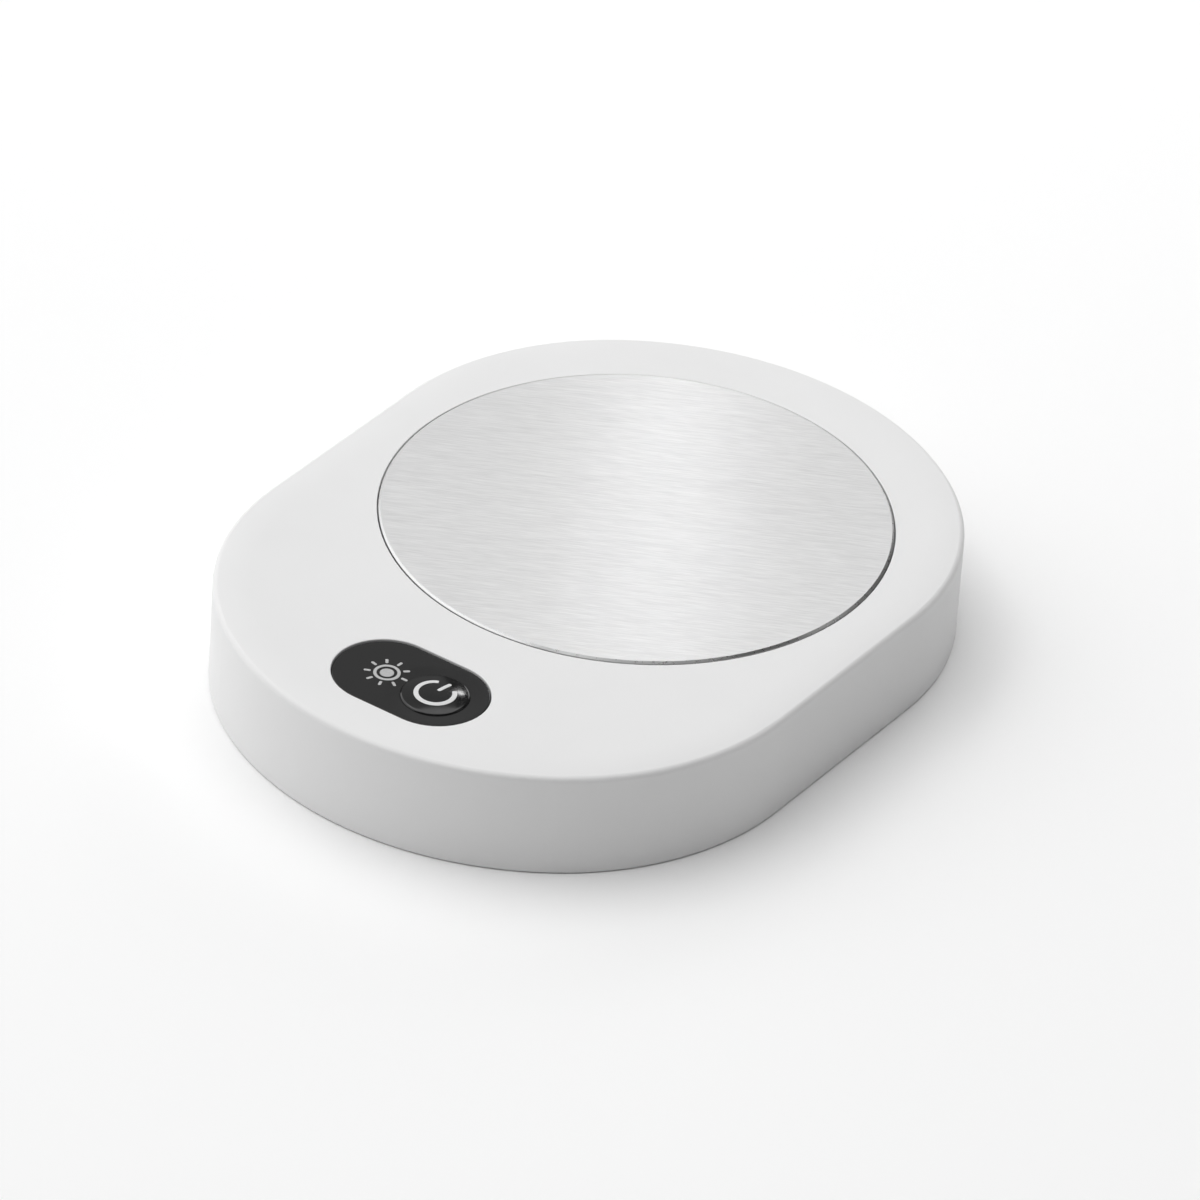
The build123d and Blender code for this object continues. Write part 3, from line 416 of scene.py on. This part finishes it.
def lay_on(work, tree, level):
    """Drop each vertex onto the surface from above and keep its own height over it."""
    for vertex in work.verts:
        start = Vector((vertex.co.x, vertex.co.y, level + DROP))
        hit = tree.ray_cast(start, -overhead)[0]
        vertex.co.z += hit.z


def round_ends(work, width):
    """Round the upright edges at the ends of a stroke."""
    upright = [edge for edge in work.edges
               if abs((edge.verts[0].co - edge.verts[1].co).normalized().z) > NEARLY
               and edge.calc_face_angle(0) > CORNER]
    bmesh.ops.bevel(work, geom=upright, offset=width * END_ROUNDING, affect="EDGES",
                    segments=END_STEPS, profile=0.5, material=-1)
    bmesh.ops.remove_doubles(work, verts=work.verts, dist=MERGE)


def ring(inner, outer, low, high, gap=0.0, middle=pi / 2):
    """Flat ring about the origin; a gap is centred on the direction called middle."""
    work = bmesh.new()
    section = [(inner, low), (outer, low), (outer, high), (inner, high)]
    start = Matrix.Rotation(middle + gap / 2, 3, "Z")
    profile = work.faces.new([work.verts.new(start @ Vector((x, 0, z))) for x, z in section])
    if gap:
        bmesh.ops.spin(work, geom=[profile], axis=overhead, cent=(0, 0, 0), angle=tau - gap,
                       steps=RING_STEPS)
    else:
        work.faces.remove(profile)
        bmesh.ops.spin(work, geom=work.edges[:], axis=overhead, cent=(0, 0, 0), angle=tau,
                       steps=RING_STEPS, use_merge=True)
    bmesh.ops.recalc_face_normals(work, faces=work.faces)
    return work


def ink_ring(radius, width, gap=0.0):
    """Ring of print; a gap has round ends."""
    work = ring(radius - width / 2, radius + width / 2, -INK_SINK, INK_TOP, gap)
    if gap:
        round_ends(work, width)
    return work


def ink_bar(start, end, width):
    """Straight stroke of print along +Y, from start to end, with round ends."""
    work = bmesh.new()
    bmesh.ops.create_cube(work, size=1.0)
    bmesh.ops.scale(work, vec=(width, end - start, INK_TOP + INK_SINK), verts=work.verts)
    centre = (0, (start + end) / 2, (INK_TOP - INK_SINK) / 2)
    bmesh.ops.translate(work, vec=centre, verts=work.verts)
    lengthwise = [edge for edge in work.edges if edge.calc_length() > (end - start) * NEARLY]
    bmesh.ops.subdivide_edges(work, edges=lengthwise, cuts=BAR_CUTS, use_grid_fill=True)
    round_ends(work, width)
    return work


def gather(strokes, turn=0.0):
    """One bmesh of all the strokes of a sign, turned about Z."""
    whole = bmesh.new()
    for stroke in strokes:
        mesh = bpy.data.meshes.new("stroke")
        stroke.to_mesh(mesh)
        stroke.free()
        whole.from_mesh(mesh)
        bpy.data.meshes.remove(mesh)
    bmesh.ops.rotate(whole, cent=(0, 0, 0), matrix=Matrix.Rotation(turn, 3, "Z"),
                     verts=whole.verts)
    return whole


def middle_of(node):
    low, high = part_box(node)
    return (low + high) / 2


def finished_piece(name, work, material, body):
    """An object of the work, which rides on a body."""
    mesh = bpy.data.meshes.new(name)
    work.to_mesh(mesh)
    work.free()
    mesh.materials.append(material)
    piece = bpy.data.objects.new(name, mesh)
    bpy.context.scene.collection.objects.link(piece)
    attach(piece, body)
    return piece


def print_sign(name, work, centre, carrier, ink, body):
    """Lay a sign on what carries it."""
    bmesh.ops.translate(work, vec=(centre.x, centre.y, 0), verts=work.verts)
    lay_on(work, surface_tree(carrier), centre.z)
    finished_piece(name, work, ink, body)


def swing(work, vertex, centre, angle, steps):
    """Draw an arc on from a vertex, turning about +Y, and return its far end."""
    drawn = bmesh.ops.spin(work, geom=[vertex], axis=(0, 1, 0), cent=centre, angle=angle,
                           steps=steps)
    return next(item for item in drawn["geom_last"] if isinstance(item, bmesh.types.BMVert))


def make_button_cap():
    """Domed cap with a rounded shoulder, a flange under the panel and a stem to the switch."""
    low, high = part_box("power_button")
    axis = middle_of("switch_plunger")
    dome = CROWN_REACH / sin(CROWN_SLOPE)
    shoulder = (CAP_RADIUS - CROWN_REACH) / (1 - sin(CROWN_SLOPE))
    foot = low.z - high.z

    # The outline: dome, shoulder, wall, hollow under the top and stem, spun about the axis
    work = bmesh.new()
    end = swing(work, work.verts.new((0, 0, 0)), (0, 0, -dome), CROWN_SLOPE, CROWN_STEPS)
    centre = (CAP_RADIUS - shoulder, 0, end.co.z - shoulder * cos(CROWN_SLOPE))
    end = swing(work, end, centre, pi / 2 - CROWN_SLOPE, SHOULDER_STEPS)
    inner = CAP_RADIUS - CAP_WALL
    for x, z in ((CAP_RADIUS, -FLANGE_BOTTOM), (inner, -FLANGE_BOTTOM), (inner, -CAP_WALL),
                 (STEM_RADIUS, -CAP_WALL), (STEM_RADIUS, foot), (0, foot)):
        corner = work.verts.new((x, 0, z))
        work.edges.new((end, corner))
        end = corner
    bmesh.ops.spin(work, geom=work.verts[:] + work.edges[:], axis=overhead, cent=(0, 0, 0),
                   angle=tau, steps=CAP_STEPS, use_merge=True)
    bmesh.ops.remove_doubles(work, verts=work.verts, dist=MERGE)
    bmesh.ops.recalc_face_normals(work, faces=work.faces)

    flange = ring(CAP_RADIUS - CAP_WALL / 2, (high.y - low.y) / 2, -FLANGE_BOTTOM, -FLANGE_TOP,
                  gap=KEYWAY, middle=0)
    work = gather([work, flange])
    bmesh.ops.translate(work, vec=(axis.x, axis.y, high.z), verts=work.verts)
    for face in work.faces:
        face.smooth = True
    for edge in work.edges:
        edge.smooth = edge.calc_face_angle(pi) < CREASE
    cap = finished_piece("button_cap", work, finishes["button_black"], "button")
    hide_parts("power_button")
    return cap


# Sun sign round the indicator: a ring and nine rays
SUN_RING = 2.03 * mm
SUN_LINE = 0.54 * mm
RAY_START = 2.75 * mm
RAY_END = 3.95 * mm
RAY_WIDTH = 0.5 * mm
RAY_COUNT = 9
SUN_TURN = radians(-3.5)    # the whole sign, anticlockwise from above

# Power sign on the button: a ring with a gap and a bar
POWER_RING = 3.24 * mm
POWER_LINE = 0.82 * mm
POWER_GAP = radians(67)
POWER_TURN = radians(-8)
BAR_START = 0.65 * mm
BAR_END = 3.75 * mm
BAR_WIDTH = 0.68 * mm


def make_sun_sign():
    """Print on the panel, round the indicator."""
    strokes = [ink_ring(SUN_RING, SUN_LINE)]
    for n in range(RAY_COUNT):
        ray = ink_bar(RAY_START, RAY_END, RAY_WIDTH)
        turn = Matrix.Rotation(n * tau / RAY_COUNT, 3, "Z")
        bmesh.ops.rotate(ray, cent=(0, 0, 0), matrix=turn, verts=ray.verts)
        strokes.append(ray)
    print_sign("sun_sign", gather(strokes, SUN_TURN), middle_of("indicator_lens"),
               nodes["control_panel"], sun_ink, "housing")


def make_power_sign(button):
    """Print on the button's dome, which moves with it."""
    strokes = [ink_ring(POWER_RING, POWER_LINE, gap=POWER_GAP),
               ink_bar(BAR_START, BAR_END, BAR_WIDTH)]
    print_sign("power_sign", gather(strokes, POWER_TURN), middle_of("switch_plunger"),
               button, power_ink, "button")


# ---------------------------------------------------------------- studio

ROOM_GLOW = 0.098           # faint light from all round
FLOOR_HALF = 6.0            # half the side of the paper


def softbox(name, bearing, elevation, distance, width, height, glow, aside=0.0):
    """Area light, aimed at the object. Bearing 0 is straight behind it, 90 to the camera's right.

    The glow is the brightness of its face, where 1 shows as white. Aside shifts it to the
    camera's right after it is aimed.
    """
    level = away * cos(radians(bearing)) + across * sin(radians(bearing))
    direction = level * cos(radians(elevation)) + overhead * sin(radians(elevation))
    light = bpy.data.lights.new(name, "AREA")
    light.shape = "RECTANGLE"
    light.size = width
    light.size_y = height
    light.energy = glow * pi * width * height
    box = bpy.data.objects.new(name, light)
    box.location = direction * distance + across * aside
    box.rotation_mode = "QUATERNION"
    box.rotation_quaternion = (-direction).to_track_quat("-Z", "Y")
    bpy.context.scene.collection.objects.link(box)


def make_studio():
    """White paper floor, and softboxes: two large, three small behind and one small on the right.

    The backdrop shows in the panel, the strip in the plate's brushing and on the button, and the
    side light in the plate seen from the left.
    """
    work = bmesh.new()
    bmesh.ops.create_grid(work, x_segments=1, y_segments=1, size=FLOOR_HALF)
    mesh = bpy.data.meshes.new("floor")
    work.to_mesh(mesh)
    work.free()
    floor = bpy.data.objects.new("floor", mesh)
    paper = Finish("white paper floor", grey(0.97), 0.9)
    paper.emboss(paper.noise(2.0), 0.01)
    mesh.materials.append(paper.material)
    bpy.context.scene.collection.objects.link(floor)

    softbox("key", bearing=-76, elevation=31, distance=3.0, width=5.2, height=4.0, glow=1.25)
    softbox("top", bearing=-20, elevation=82, distance=2.6, width=3.2, height=3.2, glow=1.7)
    softbox("backdrop", bearing=-22, elevation=36, distance=1.3, width=1.0, height=0.8, glow=0.34)
    softbox("strip", bearing=0, elevation=41, distance=0.27, width=0.011, height=0.015, glow=19.5,
            aside=12 * mm)
    softbox("rear", bearing=20, elevation=22, distance=0.9, width=0.30, height=0.24, glow=3.4)
    softbox("side", bearing=93, elevation=26, distance=1.2, width=0.5, height=0.42, glow=0.5)

    world = bpy.data.worlds.new("studio")
    world.use_nodes = True
    world.node_tree.nodes["Background"].inputs["Color"].default_value = (1, 1, 1, 1)
    world.node_tree.nodes["Background"].inputs["Strength"].default_value = ROOM_GLOW
    bpy.context.scene.world = world
    bpy.context.scene.view_settings.view_transform = "Standard"


make_camera()
dress_nodes()
make_sun_sign()
make_power_sign(make_button_cap())
make_studio()
